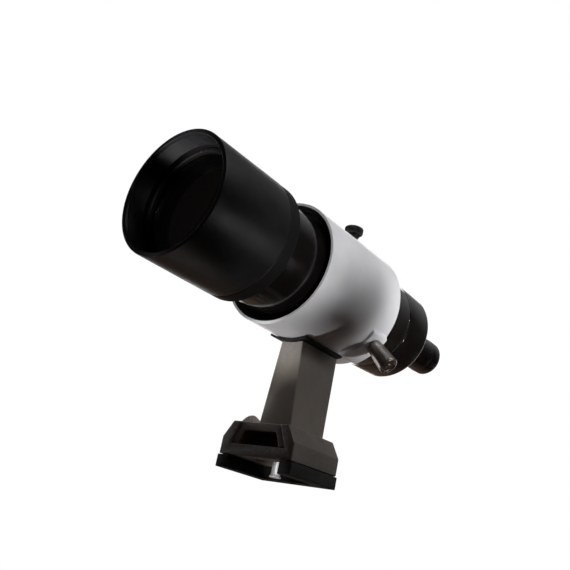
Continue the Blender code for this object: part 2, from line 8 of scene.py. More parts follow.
import json
import math

import bmesh
import bpy
from mathutils import Matrix, Vector


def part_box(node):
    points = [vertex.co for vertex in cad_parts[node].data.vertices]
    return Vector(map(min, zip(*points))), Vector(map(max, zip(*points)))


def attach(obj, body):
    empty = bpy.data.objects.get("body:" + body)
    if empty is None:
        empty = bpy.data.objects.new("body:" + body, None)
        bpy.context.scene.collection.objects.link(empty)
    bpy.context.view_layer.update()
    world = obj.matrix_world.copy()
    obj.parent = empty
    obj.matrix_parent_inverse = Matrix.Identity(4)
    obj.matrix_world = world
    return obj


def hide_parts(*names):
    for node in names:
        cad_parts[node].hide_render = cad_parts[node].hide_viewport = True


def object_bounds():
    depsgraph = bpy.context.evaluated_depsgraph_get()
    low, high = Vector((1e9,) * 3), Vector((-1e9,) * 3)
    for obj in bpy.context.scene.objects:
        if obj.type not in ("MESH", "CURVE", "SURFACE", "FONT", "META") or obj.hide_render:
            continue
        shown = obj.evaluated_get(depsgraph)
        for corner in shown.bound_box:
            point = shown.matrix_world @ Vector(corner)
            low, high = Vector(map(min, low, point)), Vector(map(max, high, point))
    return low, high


MM = 0.001

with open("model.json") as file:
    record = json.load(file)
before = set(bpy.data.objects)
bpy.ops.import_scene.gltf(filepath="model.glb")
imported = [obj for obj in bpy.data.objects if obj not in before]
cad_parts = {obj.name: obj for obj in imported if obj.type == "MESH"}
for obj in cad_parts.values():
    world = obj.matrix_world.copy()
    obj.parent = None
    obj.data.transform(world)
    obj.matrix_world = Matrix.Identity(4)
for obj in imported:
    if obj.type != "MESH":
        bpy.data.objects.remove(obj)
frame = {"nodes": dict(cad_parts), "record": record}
cad_box = [list(corner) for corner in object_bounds()]
nodes = frame["nodes"]


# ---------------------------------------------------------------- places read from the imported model

def middle(node):
    low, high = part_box(node)
    return (low + high) / 2


AXIS = middle("main_tube")
RIM_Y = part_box("dew_shield")[0].y


def station(y):
    return (y - RIM_Y) / MM


# driving sizes of the tube, in mm; the threads are the anti-glare ones in the barrel's mouth
AXIS_HEIGHT = AXIS.z / MM
BARREL_RADIUS = 30.5
BARREL_BORE = 27.0
THREAD_ROOT = 28.0
THREAD_CREST = 27.82
THREAD_PITCH = 0.55
THREAD_TURNS = 15
THREAD_END = 9.8
TUBE_RADIUS = 26.6
LENS_RADIUS = 26.6
EYEPIECE_RADIUS = 10.9

# of the ring, its screws and plunger; the boss rises over RISE_STEPS fine steps
RING_RADIUS = 32.4
RING_BORE = 29.3
SCREW_STATION = 132.0
PLUNGER_STATION = 135.0
PLUNGER_ANGLE = -45
RISE_START = 123.6
RISE_STEP = 0.2
RISE_STEPS = 27

# of the shoe, its dovetail channel and what goes in and under it
SHOE_HALF_LENGTH = 18.4
SHOE_HALF_WIDTH = 22.2
SHOE_TOP = 22.6
CHANNEL_FLOOR = 11.7
CHANNEL_HALF_WIDTH = 16.7
CHANNEL_HALF_MOUTH = 11.9
SHOE_SCREW_OFFSET = 13.6
FOOT_GAP = 0.35
PAD_HEIGHT = 6.0


# ---------------------------------------------------------------- mesh helpers (all sizes in mm)

WELD = 0.002  # points closer than this become one
POLE = 0.003  # a ring smaller than this is one point
TOOTH_POINTS = 4

# edges over these angles (degrees) stay sharp
SMOOTH_ANGLE = 38
CASTING_ANGLE = 35
KNOB_ANGLE = 32


def link(name, mesh):
    obj = bpy.data.objects.new(name, mesh)
    bpy.context.scene.collection.objects.link(obj)
    return obj


def smooth(obj, angle=SMOOTH_ANGLE):
    """Smooth shading, with the edges over this angle (degrees) kept sharp."""
    obj.data.shade_smooth()
    obj.data.set_sharp_from_angle(angle=math.radians(angle))


def finish_mesh(bm, name, angle=SMOOTH_ANGLE):
    """Welds the points, scales mm to metres and links the object."""
    bmesh.ops.remove_doubles(bm, verts=bm.verts, dist=WELD)
    bmesh.ops.recalc_face_normals(bm, faces=bm.faces)
    bmesh.ops.scale(bm, vec=(MM, MM, MM), verts=bm.verts)
    mesh = bpy.data.meshes.new(name)
    bm.to_mesh(mesh)
    bm.free()
    obj = link(name, mesh)
    smooth(obj, angle)
    return obj


def soften(profile, closed, steps=5):
    """Rounds the corners of a profile that name a rounding."""
    points = []
    count = len(profile)
    for index, corner in enumerate(profile):
        here = Vector(corner[:2])
        rounding = corner[2] if len(corner) > 2 else 0.0
        ends = index in (0, count - 1) and not closed
        if rounding <= 0 or ends:
            points.append(here)
            continue
        before = Vector(profile[index - 1][:2]) - here
        after = Vector(profile[(index + 1) % count][:2]) - here
        reach = min(rounding, before.length * 0.49, after.length * 0.49)
        start = here + before.normalized() * reach
        end = here + after.normalized() * reach
        for step in range(steps + 1):
            t = step / steps
            points.append((1 - t) ** 2 * start + 2 * t * (1 - t) * here + t**2 * end)
    return points


def join_rings(bm, pairs, count):
    """Faces between rings of this many points; a ring of one point is a pole."""
    for first, second in pairs:
        for index in range(count):
            after = (index + 1) % count
            corners = [first[index % len(first)], first[after % len(first)],
                       second[after % len(second)], second[index % len(second)]]
            unique = []
            for corner in corners:
                if corner not in unique:
                    unique.append(corner)
            if len(unique) > 2:
                bm.faces.new(unique)


def turn_point(bm, radius, angle, height):
    return bm.verts.new((radius * math.cos(angle), radius * math.sin(angle), height))


def lathe_mesh(profile, segments=160, closed=True, swell=None):
    """Turns a profile about local Z. swell(angle, station, radius) may move a point out."""
    bm = bmesh.new()
    rings = []
    for height, radius in soften(profile, closed):
        if radius < POLE:
            rings.append([bm.verts.new((0, 0, height))])
            continue
        ring = []
        for index in range(segments):
            angle = 2 * math.pi * index / segments
            reach = radius + (swell(angle, height, radius) if swell else 0.0)
            ring.append(turn_point(bm, reach, angle, height))
        rings.append(ring)
    pairs = list(zip(rings, rings[1:]))
    if closed:
        pairs.append((rings[-1], rings[0]))
    join_rings(bm, pairs, segments)
    return bm


def knurl_mesh(levels, teeth, depth):
    """A solid knurled knob about local Z: levels are (height, radius, share of the knurl's depth)."""
    bm = bmesh.new()
    rings = []
    count = teeth * TOOTH_POINTS
    for height, radius, share in levels:
        if radius < POLE:
            rings.append([bm.verts.new((0, 0, height))])
            continue
        ring = []
        for index in range(count):
            phase = (index % TOOTH_POINTS) / TOOTH_POINTS
            crest = math.sqrt(abs(2 * phase - 1))
            reach = radius - depth * share * (1 - crest)
            ring.append(turn_point(bm, reach, 2 * math.pi * index / count, height))
        rings.append(ring)
    join_rings(bm, zip(rings, rings[1:]), count)
    return bm


def prism_mesh(outline, start, end):
    """Extrudes an outline of (x, z) points along Y."""
    bm = bmesh.new()
    base = bm.faces.new([bm.verts.new((x, start, z)) for x, z in outline])
    grown = bmesh.ops.extrude_face_region(bm, geom=[base])
    moved = [item for item in grown["geom"] if isinstance(item, bmesh.types.BMVert)]
    bmesh.ops.translate(bm, verts=moved, vec=(0, end - start, 0))
    return bm


def box_mesh(low, high):
    """A box between two corners."""
    outline = [(low[0], low[2]), (high[0], low[2]), (high[0], high[2]), (low[0], high[2])]
    return prism_mesh(outline, low[1], high[1])


def loft_mesh(sections):
    """Joins closed rings of points that have the same count, and closes both ends."""
    bm = bmesh.new()
    rings = [[bm.verts.new(point) for point in section] for section in sections]
    for first, second in zip(rings, rings[1:]):
        for index in range(len(first)):
            after = (index + 1) % len(first)
            bm.faces.new((first[index], first[after], second[after], second[index]))
    bm.faces.new(list(reversed(rings[0])))
    bm.faces.new(rings[-1])
    return bm


def bake_modifiers(obj):
    """Turns the object's modifiers into its mesh."""
    bpy.context.view_layer.update()
    graph = bpy.context.evaluated_depsgraph_get()
    mesh = bpy.data.meshes.new_from_object(obj.evaluated_get(graph))
    obj.modifiers.clear()
    obj.data = mesh
    return obj


def combine(target, tool, operation):
    """Boolean of the target with a tool; the tool is then removed."""
    step = target.modifiers.new(operation.lower(), "BOOLEAN")
    step.operation = operation
    step.solver = "EXACT"
    step.object = tool
    bake_modifiers(target)
    bpy.data.objects.remove(tool, do_unlink=True)
    return target


def bevel(obj, width, segments=3, angle=30):
    """Rounds the edges over this angle (degrees) by this width (mm)."""
    step = obj.modifiers.new("bevel", "BEVEL")
    step.width = width * MM
    step.segments = segments
    step.limit_method = "ANGLE"
    step.angle_limit = math.radians(angle)
    bake_modifiers(obj)
    smooth(obj)
    return obj


def place(obj, origin, direction):
    """Moves a piece drawn about local Z to this origin (m), with its Z along this direction."""
    turn = Vector((0, 0, 1)).rotation_difference(direction).to_matrix().to_4x4()
    obj.data.transform(Matrix.Translation(origin) @ turn)
    return obj


def along_axis(obj):
    """Puts a piece turned about local Z on the optical axis: its Z becomes the station."""
    obj.data.transform(Matrix.Translation((0, RIM_Y, AXIS.z)) @ Matrix.Rotation(-math.pi / 2, 4, "X"))
    return obj


def radial(obj, at_station, degrees):
    """Puts a piece on a line out of the optical axis, at this angle from +X towards +Z."""
    angle = math.radians(degrees)
    return place(obj, (0, RIM_Y + at_station * MM, AXIS.z), Vector((math.cos(angle), 0, math.sin(angle))))


def cylinder_cutter(start, end, radius, segments=48):
    """A plain cylinder about local Z, to cut a hole with."""
    profile = [(start, 0), (start, radius), (end, radius), (end, 0)]
    return finish_mesh(lathe_mesh(profile, segments, closed=False), "cutter")


def lathe(name, profile, segments=160, closed=True, swell=None, angle=SMOOTH_ANGLE):
    """A piece turned about the optical axis."""
    return along_axis(finish_mesh(lathe_mesh(profile, segments, closed, swell), name, angle))


def smoothstep(low, high, value):
    """0 up to low, 1 from high on, and an even rise between them."""
    share = min(max((value - low) / (high - low), 0.0), 1.0)
    return share * share * (3 - 2 * share)


# ---------------------------------------------------------------- materials

def new_material(name):
    made = bpy.data.materials.new(name)
    made.use_nodes = True
    tree = made.node_tree
    return made, tree, tree.nodes["Principled BSDF"]


def noise(tree, coords, scale, detail=3.0, roughness=0.55, stretch=None):
    """A cloudy value about 0.5, with stretch scaling each direction of the coordinates."""
    source = coords
    if stretch:
        mapping = tree.nodes.new("ShaderNodeMapping")
        mapping.inputs["Scale"].default_value = stretch
        tree.links.new(coords, mapping.inputs["Vector"])
        source = mapping.outputs["Vector"]
    node = tree.nodes.new("ShaderNodeTexNoise")
    node.inputs["Scale"].default_value = scale
    node.inputs["Detail"].default_value = detail
    node.inputs["Roughness"].default_value = roughness
    tree.links.new(source, node.inputs["Vector"])
    return node.outputs["Fac"]


def spread(tree, source, low, high, start=0.35, end=0.65):
    """Maps start..end of a value, by default the middle band of a noise, to low..high."""
    node = tree.nodes.new("ShaderNodeMapRange")
    node.inputs["From Min"].default_value = start
    node.inputs["From Max"].default_value = end
    node.inputs["To Min"].default_value = low
    node.inputs["To Max"].default_value = high
    tree.links.new(source, node.inputs["Value"])
    return node.outputs["Result"]


def blend_colours(tree, factor, first, second):
    """A colour between two plain ones, by this factor."""
    node = tree.nodes.new("ShaderNodeMix")
    node.data_type = "RGBA"
    node.inputs["A"].default_value = (*first, 1)
    node.inputs["B"].default_value = (*second, 1)
    tree.links.new(factor, node.inputs["Factor"])
    return node.outputs["Result"]


def bump(tree, height, depth, before=None):
    """Relief of this depth (mm) from a height, on top of an earlier relief."""
    node = tree.nodes.new("ShaderNodeBump")
    node.inputs["Distance"].default_value = depth * MM
    node.inputs["Strength"].default_value = 1.0
    tree.links.new(height, node.inputs["Height"])
    if before is not None:
        tree.links.new(before, node.inputs["Normal"])
    return node.outputs["Normal"]


def object_coords(tree):
    return tree.nodes.new("ShaderNodeTexCoord").outputs["Object"]


def vector_math(tree, operation, first, second=None):
    """A vector node; the second input is a plain vector, an output to link, or nothing."""
    node = tree.nodes.new("ShaderNodeVectorMath")
    node.operation = operation
    tree.links.new(first, node.inputs[0])
    if isinstance(second, bpy.types.NodeSocket):
        tree.links.new(second, node.inputs[1])
    elif second is not None:
        node.inputs[1].default_value = second
    return node


def multiply(tree, first, second):
    node = tree.nodes.new("ShaderNodeMath")
    node.operation = "MULTIPLY"
    tree.links.new(first, node.inputs[0])
    tree.links.new(second, node.inputs[1])
    return node.outputs["Value"]


def mix_in(tree, factor, below, above):
    """The plain value or colour above, laid over a linked one by this factor."""
    mix = tree.nodes.new("ShaderNodeMix")
    mix.data_type = "FLOAT" if isinstance(above, float) else "RGBA"
    sockets = [socket for socket in mix.inputs if socket.enabled]
    tree.links.new(factor, sockets[0])
    tree.links.new(below, sockets[1])
    sockets[2].default_value = above
    return [socket for socket in mix.outputs if socket.enabled][0]


def worn_and_highlit_edges(tree, coords, colour, wear):
    """Shows the wear colour in patches on convex edges, found from the mesh's own curvature; on the satin
    black it is partly a painted edge highlight.
    """
    geometry = tree.nodes.new("ShaderNodeNewGeometry")
    edges = spread(tree, geometry.outputs["Pointiness"], 0.0, 1.0, 0.52, 0.60)
    patches = spread(tree, noise(tree, coords, 700, 4.0), 0.1, 0.8)
    return mix_in(tree, multiply(tree, edges, patches), colour, (*wear, 1))


def coated(name, dark, light, rough, grain, patch=60, metallic=0.0, coat=0.0, coat_rough=0.1,
           wear=None, specular=0.5, fine=None, turned=None):
    """Paint, plate or anodising: patchy colour and roughness, a grain in relief, and wear on the edges,
    which on the satin black is partly a painted highlight.

    grain, fine and turned are reliefs as (scale of the noise, depth in mm); turned marks run lengthways.
    """
    made, tree, shader = new_material(name)
    coords = object_coords(tree)
    colour = blend_colours(tree, spread(tree, noise(tree, coords, patch, 4.0), 0, 1), dark, light)
    if wear:
        colour = worn_and_highlit_edges(tree, coords, colour, wear)
    tree.links.new(colour, shader.inputs["Base Color"])
    smear = noise(tree, coords, patch * 1.7, 5.0, 0.6)
    tree.links.new(spread(tree, smear, *rough), shader.inputs["Roughness"])
    shader.inputs["Metallic"].default_value = metallic
    shader.inputs["Specular IOR Level"].default_value = specular
    shader.inputs["Coat Weight"].default_value = coat
    shader.inputs["Coat Roughness"].default_value = coat_rough
    normal = bump(tree, noise(tree, coords, grain[0], 2.0), grain[1])
    if fine:
        normal = bump(tree, noise(tree, coords, fine[0], 1.0), fine[1], normal)
    if turned:
        streaks = noise(tree, coords, turned[0], 2.0, 0.5, (0.02, 1.0, 0.02))
        normal = bump(tree, streaks, turned[1], normal)
    tree.links.new(normal, shader.inputs["Normal"])
    return made


def blacken_inside(made, radius, last_station, colour, rough):
    """Flat black on what lies nearer the optical axis than this radius, up to a station (mm): paint inside
    the tubes, and a near-black bore and front recess on the white ring.
    """
    tree = made.node_tree
    shader = tree.nodes["Principled BSDF"]
    coords = object_coords(tree)
    offset = vector_math(tree, "SUBTRACT", coords, (0, 0, AXIS.z))
    across = vector_math(tree, "MULTIPLY", offset.outputs["Vector"], (1, 0, 1))
    reach = vector_math(tree, "LENGTH", across.outputs["Vector"])
    blur = 0.05
    near = spread(tree, reach.outputs["Value"], 1, 0, (radius - blur) * MM, (radius + blur) * MM)
    parts = tree.nodes.new("ShaderNodeSeparateXYZ")
    tree.links.new(coords, parts.inputs["Vector"])
    last = RIM_Y + last_station * MM
    before = spread(tree, parts.outputs["Y"], 1, 0, last, last + 2 * blur * MM)
    mask = multiply(tree, near, before)
    for name, painted in (("Base Color", (*colour, 1)), ("Roughness", rough)):
        below = shader.inputs[name].links[0].from_socket
        tree.links.new(mix_in(tree, mask, below, painted), shader.inputs[name])
    coat = shader.inputs["Coat Weight"].default_value
    tree.links.new(spread(tree, mask, coat, 0, 0, 1), shader.inputs["Coat Weight"])


def glass():
    """Coated glass: clear, with a faint green to violet tint."""
    made, tree, shader = new_material("coated_glass")
    coords = object_coords(tree)
    film = spread(tree, noise(tree, coords, 35, 2.0), 0, 1)
    tint = blend_colours(tree, film, (0.50, 0.56, 0.53), (0.54, 0.53, 0.58))
    tree.links.new(tint, shader.inputs["Base Color"])
    smear = spread(tree, noise(tree, coords, 60, 3.0), 0.004, 0.012)
    tree.links.new(smear, shader.inputs["Roughness"])
    shader.inputs["Transmission Weight"].default_value = 1.0
    shader.inputs["IOR"].default_value = 1.5
    shader.inputs["Specular IOR Level"].default_value = 0.12
    return made


def build_materials():
    """One material for each slot in the record."""
    made = {}
    # the satin black's lighter edges are partly wear and partly a painted highlight, standing for the
    # bright line along the barrel's edges
    made["satin_black"] = coated(
        "satin_black_anodising", (0.0055, 0.005, 0.0055), (0.0085, 0.008, 0.009), (0.34, 0.44),
        grain=(1900, 0.02), fine=(5200, 0.012), wear=(0.07, 0.065, 0.06), specular=0.28)
    made["matte_black"] = coated(
        "matte_black_anodising", (0.0030, 0.0026, 0.0026), (0.0050, 0.0045, 0.0045), (0.50, 0.64),
        grain=(2600, 0.02), wear=(0.05, 0.046, 0.043), specular=0.14)
    made["gloss_black"] = coated(
        "gloss_black_enamel", (0.0035, 0.003, 0.0028), (0.0055, 0.0048, 0.0045), (0.14, 0.22),
        grain=(220, 0.004), coat=0.6, coat_rough=0.06, wear=(0.12, 0.11, 0.10))
    made["knurled_black"] = coated(
        "knurled_black_anodising", (0.008, 0.007, 0.0065), (0.014, 0.012, 0.011), (0.34, 0.46),
        grain=(2400, 0.01), wear=(0.12, 0.11, 0.10))
    made["knurled_grey"] = coated(
        "grey_brown_anodising", (0.185, 0.158, 0.140), (0.260, 0.228, 0.203), (0.36, 0.48),
        grain=(2400, 0.01), wear=(0.30, 0.27, 0.25))
    made["white_paint"] = coated(
        "white_enamel", (0.72, 0.72, 0.745), (0.78, 0.78, 0.80), (0.30, 0.40),
        grain=(900, 0.006), coat=0.25, coat_rough=0.18, wear=(0.62, 0.61, 0.60))
    made["grey_paint"] = coated(
        "grey_brown_enamel", (0.204, 0.176, 0.152), (0.244, 0.212, 0.184), (0.42, 0.54),
        grain=(1300, 0.018), fine=(4200, 0.010), wear=(0.30, 0.29, 0.28))
    made["shoe_paint"] = coated(
        "dark_grey_enamel", (0.112, 0.094, 0.080), (0.141, 0.119, 0.102), (0.46, 0.58),
        grain=(1200, 0.022), fine=(4200, 0.012), wear=(0.26, 0.25, 0.24))
    made["rubber"] = coated(
        "black_rubber", (0.005, 0.0045, 0.0045), (0.009, 0.0085, 0.008), (0.60, 0.76),
        grain=(1500, 0.03), specular=0.3)
    made["polished_rubber"] = coated(
        "gloss_black_rubber", (0.0035, 0.003, 0.0028), (0.0055, 0.0048, 0.0045), (0.16, 0.24),
        grain=(400, 0.004), coat=0.6, coat_rough=0.08)
    made["chrome"] = coated(
        "dark_nickel_plate", (0.22, 0.19, 0.17), (0.30, 0.265, 0.24), (0.26, 0.38),
        grain=(900, 0.003), turned=(2600, 0.006), metallic=1.0, wear=(0.75, 0.74, 0.72))
    made["steel"] = coated(
        "bright_steel", (0.48, 0.48, 0.49), (0.58, 0.58, 0.59), (0.24, 0.34),
        grain=(1500, 0.004), metallic=1.0)
    made["brass"] = coated(
        "turned_brass", (0.66, 0.47, 0.19), (0.76, 0.56, 0.26), (0.24, 0.34),
        grain=(1500, 0.004), metallic=1.0)
    made["bright_aluminium"] = coated(
        "bright_aluminium", (0.76, 0.76, 0.75), (0.86, 0.86, 0.85), (0.40, 0.52),
        grain=(1800, 0.004), metallic=0.5)
    made["nylon"] = coated(
        "natural_nylon", (0.74, 0.73, 0.68), (0.82, 0.81, 0.77), (0.40, 0.50), grain=(900, 0.01))
    made["glass"] = glass()
    # the white ring is made near black inside 31 mm, in its bore and the recess at its front
    blacken_inside(made["white_paint"], 31.0, 200, (0.006, 0.0055, 0.005), 0.6)
    blacken_inside(made["gloss_black"], 25.5, 158, (0.003, 0.003, 0.003), 0.8)
    blacken_inside(made["satin_black"], BARREL_BORE + 0.1, 40, (0.002, 0.002, 0.002), 0.9)
    return made


MATERIALS = build_materials()
record = frame["record"]
slot_of = {entry["node"]: entry["material_slot"] for entry in record["subparts"]}
body_of = {node: body for body, group in record["behaviour"]["bodies"].items() for node in group}


def give(obj, node):
    """Rides on the node's body, stands for the node, and takes its finish."""
    slot = slot_of[node]
    obj.data.materials.clear()
    obj.data.materials.append(MATERIALS[slot])
    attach(obj, body_of[node])
    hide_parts(node)
    return obj


# ---------------------------------------------------------------- optical tube

def build_dew_shield():
    """Front barrel with fine anti-glare threads inside its mouth."""
    end = station(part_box("dew_shield")[1].y)
    outline = [
        (0.0, 28.5, 0.3), (0.0, BARREL_RADIUS, 0.45), (end, BARREL_RADIUS, 0.35),
        (end, BARREL_BORE, 0.2), (24.0, BARREL_BORE, 0.2), (24.0, 24.6, 0.2), (21.6, 24.6, 0.2),
        (21.6, BARREL_BORE, 0.2), (13.6, BARREL_BORE, 0.1), (13.6, THREAD_ROOT, 0.1),
        (THREAD_END, THREAD_ROOT),
    ]
    for turn in range(THREAD_TURNS):
        at = THREAD_END - turn * THREAD_PITCH
        outline.append((at - THREAD_PITCH * 0.5, THREAD_CREST))
        outline.append((at - THREAD_PITCH, THREAD_ROOT))
    outline.append((1.2, 27.9, 0.2))
    return give(lathe("dew_shield_body", outline, 192), "dew_shield")


def build_retainer():
    """Threaded ring in front of the lens, with two slots for a spanner."""
    bore = 25.4
    outline = [
        (11.1, 25.8, 0.25), (11.1, 27.0, 0.2), (11.6, 27.7, 0.1), (13.3, 27.7, 0.1),
        (13.3, bore, 0.1), (11.7, bore, 0.2),
    ]
    ring = lathe("objective_retaining_ring", outline)
    front = RIM_Y / MM
    half_slot = Vector((1.25, 1.2, 2))
    for side in (1, -1):
        centre = Vector((0, front + 10.2, AXIS_HEIGHT + side * 26.7))
        slot = finish_mesh(box_mesh(centre - half_slot, centre + half_slot), "cutter")
        combine(ring, slot, "DIFFERENCE")
    return give(ring, "objective_retainer")


def lens_outline(front_edge, front_middle, rear_edge, rear_middle, radius, steps=14):
    """Half section of a lens, from the stations of its faces at the edge and at the middle."""
    points = []
    for step in range(steps + 1):
        share = step / steps
        points.append((front_middle + (front_edge - front_middle) * share**2, radius * share))
    for step in range(steps, -1, -1):
        share = step / steps
        points.append((rear_middle + (rear_edge - rear_middle) * share**2, radius * share))
    return points


def build_lenses():
    for name, node, edges, radius, segments in (
            ("objective_crown_lens", "objective_crown", (13.7, 11.3, 15.7, 17.4), LENS_RADIUS, 128),
            ("objective_flint_lens", "objective_flint", (17.2, 18.2, 21.3, 21.0), LENS_RADIUS, 128),
            ("eye_lens_glass", "eye_lens", (218.6, 217.2, 220.6, 221.6), 8.9, 64)):
        give(lathe(name, lens_outline(*edges, radius), segments, closed=False), node)


def build_lock_ring():
    start, end = (station(corner.y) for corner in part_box("lock_ring"))
    bore = 27.0
    outside = 30.4
    outline = [
        (start, bore, 0.15), (start, outside - 0.4, 0.25), (start + 0.5, outside, 0.2),
        (end - 1.0, outside, 0.4), (end, outside - 1.0, 0.3), (end, bore, 0.15),
    ]
    return give(lathe("focus_lock_ring", outline, 192), "lock_ring")


def build_main_tube():
    start = 26.5
    end = 161.7
    bore = 24.8
    outline = [(start, bore), (start, TUBE_RADIUS, 0.2), (end, TUBE_RADIUS, 0.35), (end, bore)]
    return give(lathe("main_optical_tube", outline, 192), "main_tube")


def build_rear_cap():
    """Rear cell: its spigot goes into the tube, and a 1 mm groove stays between them."""
    outline = [
        (155.5, 22.6), (155.5, 24.5), (162.7, 24.5), (162.7, TUBE_RADIUS, 0.35),
        (183.6, TUBE_RADIUS, 0.9), (183.6, 11.2, 0.3), (174.6, 11.2), (174.6, 15), (179.6, 19),
        (179.6, 22.6),
    ]
    return give(lathe("rear_cell", outline, 192), "rear_cap")


def build_eyepiece():
    # rings close to both ends keep the edge wear off the long wall
    wall = [(at, EYEPIECE_RADIUS) for at in (160, 160.5, 161, 220.0, 220.5)]
    outline = [
        (160, 9.2), *wall, (221.0, EYEPIECE_RADIUS, 0.15), (221.0, 9.9), (226.0, 9.9), (226.0, 9.2),
    ]
    give(lathe("eyepiece_barrel", outline, 96), "eyepiece_tube")
    cup = [
        (221.3, 10.2), (221.3, EYEPIECE_RADIUS, 0.3), (231.0, EYEPIECE_RADIUS, 1.6),
        (231.0, 7.6, 0.7), (229.2, 6.4, 0.6), (226.3, 6.4), (226.3, 10.2),
    ]
    give(lathe("rubber_eyecup", cup, 96), "eyecup")


# ---------------------------------------------------------------- bracket

def boss_swell(angle, at, radius):
    """The raised band round the plunger, blended into the ring's outer wall."""
    rise = 1.5
    if radius < (RING_RADIUS + RING_BORE) / 2:
        return 0.0
    degrees = (math.degrees(angle) + 180) % 360 - 180
    # local angles run the other way round the axis: +Z is at -90 here
    sideways = smoothstep(32, 35, degrees) * (1 - smoothstep(71, 75, degrees))
    front = 127.2 - 2.6 * smoothstep(50, 74, degrees)
    return rise * sideways * smoothstep(front - 0.4, front + 0.5, at)


def build_ring():
    # close rings where the boss starts to rise
    fine = [(RISE_START + step * RISE_STEP, RING_RADIUS) for step in range(RISE_STEPS)]
    front = 75.6
    rear = 140.6
    outline = [
        (front, 30.9, 0.12), (front, RING_RADIUS, 0.35), *fine, (rear, RING_RADIUS, 0.7),
        (rear, RING_BORE, 0.3), (84.5, RING_BORE, 0.1), (84.5, 30.5), (79.9, 30.5),
        (79.9, RING_BORE, 0.1), (78.7, RING_BORE, 0.1), (78.7, 30.9),
    ]
    ring = lathe("bracket_ring_casting", outline, 240, swell=boss_swell, angle=50)
    for degrees, at, radius in ((90, SCREW_STATION, 2.65), (180, SCREW_STATION, 2.65),
                                (PLUNGER_ANGLE, PLUNGER_STATION, 3.2)):
        combine(ring, radial(cylinder_cutter(20, 40, radius), at, degrees), "DIFFERENCE")
    return give(ring, "bracket_ring")


def flank(height):
    """Half width of the dovetail foot at this height, a running gap inside the shoe's channel."""
    slope = (CHANNEL_HALF_WIDTH - CHANNEL_HALF_MOUTH) / (SHOE_TOP - CHANNEL_FLOOR)
    return CHANNEL_HALF_WIDTH - slope * (height - CHANNEL_FLOOR) - FOOT_GAP


def build_post():
    """The tapered post, up to inside the ring."""
    top = AXIS_HEIGHT - 26
    bottom = 20.9
    low = ((-10.2, -8.1), (10.2, -8.1), (10.2, 18.9), (-10.2, 18.9))
    high = ((-6.0, -7.5), (6.0, -7.5), (6.0, 24.4), (-6.0, 24.4))
    sections = [[(x, y, bottom) for x, y in low], [(x, y, top) for x, y in high]]
    return bevel(finish_mesh(loft_mesh(sections), "stalk_post"), 0.7, 4)


def build_stalk():
    """Post and dovetail foot as one casting, with a hollow in the foot's front."""
    post = build_post()
    base = CHANNEL_FLOOR + 0.3
    outline = [(-flank(base), base), (flank(base), base), (flank(SHOE_TOP), SHOE_TOP),
               (-flank(SHOE_TOP), SHOE_TOP)]
    front = -SHOE_HALF_LENGTH
    foot = finish_mesh(prism_mesh(outline, front + 1.0, -front - 0.4), "bracket_stalk_casting")
    pocket = [(-13.4, 10.3), (13.4, 10.3), (9.6, 18.6), (-9.6, 18.6)]
    combine(foot, finish_mesh(prism_mesh(pocket, front - 1, front + 15.0), "cutter"), "DIFFERENCE")
    bevel(foot, 0.45)
    combine(foot, post, "UNION")
    saddle = cylinder_cutter(60, 160, 34.2, 256)
    combine(foot, along_axis(saddle), "DIFFERENCE")
    smooth(foot, CASTING_ANGLE)
    return give(foot, "bracket_stalk")


def build_gasket():
    """A strip of a tube wall between the ring and the post, reaching further to the far side."""
    inner = 32.7
    outer = 33.9
    front = -9.4
    rear = 23.8
    steps = 32
    bm = bmesh.new()
    angles = [math.asin((-13.2 + 22.4 * index / steps) / inner) for index in range(steps + 1)]

    def line(radius, y):
        return [bm.verts.new((radius * math.sin(angle), y, AXIS_HEIGHT - radius * math.cos(angle)))
                for angle in angles]

    inner_front, inner_rear = line(inner, front), line(inner, rear)
    outer_front, outer_rear = line(outer, front), line(outer, rear)
    for index in range(steps):
        after = index + 1
        bm.faces.new((inner_front[index], inner_front[after], inner_rear[after], inner_rear[index]))
        bm.faces.new((outer_front[index], outer_rear[index], outer_rear[after], outer_front[after]))
        bm.faces.new((inner_front[index], outer_front[index], outer_front[after], inner_front[after]))
        bm.faces.new((inner_rear[index], inner_rear[after], outer_rear[after], outer_rear[index]))
    for index in (0, -1):
        bm.faces.new((inner_front[index], inner_rear[index], outer_rear[index], outer_front[index]))
    gasket = bevel(finish_mesh(bm, "stalk_saddle_gasket"), 0.25, 2, 50)
    return give(gasket, "stalk_gasket")


def build_plunger():
    """Housing of the sprung pin, slightly tapered, with a dished end and a centre mark."""
    profile = [
        (46.4, 0), (46.4, 1.9), (29.8, 1.9), (29.8, 3.0), (34.2, 3.0), (34.2, 4.1, 0.3),
        (48.9, 5.0, 0.3), (49.4, 4.5, 0.25), (49.4, 3.7, 0.15), (48.9, 3.4, 0.15), (48.9, 1.4, 0.1),
        (49.3, 1.0, 0.2), (49.3, 0),
    ]
    obj = finish_mesh(lathe_mesh(profile, 96, closed=False), "plunger_housing")
    return give(radial(obj, PLUNGER_STATION, PLUNGER_ANGLE), "plunger_body")


def join_knob(levels, teeth, depth, shank, name):
    """A knurled head and its shank as one piece."""
    knob = finish_mesh(knurl_mesh(levels, teeth, depth), name, 30)
    combine(knob, finish_mesh(lathe_mesh(shank, 64, closed=False), "shank"), "UNION")
    smooth(knob, KNOB_ANGLE)
    return knob


def build_thumbscrew(name, node, degrees):
    """Heights are distances from the optical axis."""
    shank = [
        (29.7, 0), (29.7, 2.1), (30.1, 2.4), (38.6, 2.4), (39.4, 3.4, 0.3), (41.2, 3.5), (41.2, 0),
    ]
    head = [
        (41.0, 0, 0), (41.0, 4.3, 0), (41.5, 4.95, 1), (41.9, 5.2, 1), (44.3, 5.3, 1),
        (44.8, 5.1, 1), (45.1, 4.6, 0), (45.3, 4.1, 0), (45.15, 0, 0),
    ]
    knob = join_knob(head, 36, 0.32, shank, name)
    return give(radial(knob, SCREW_STATION, degrees), node)


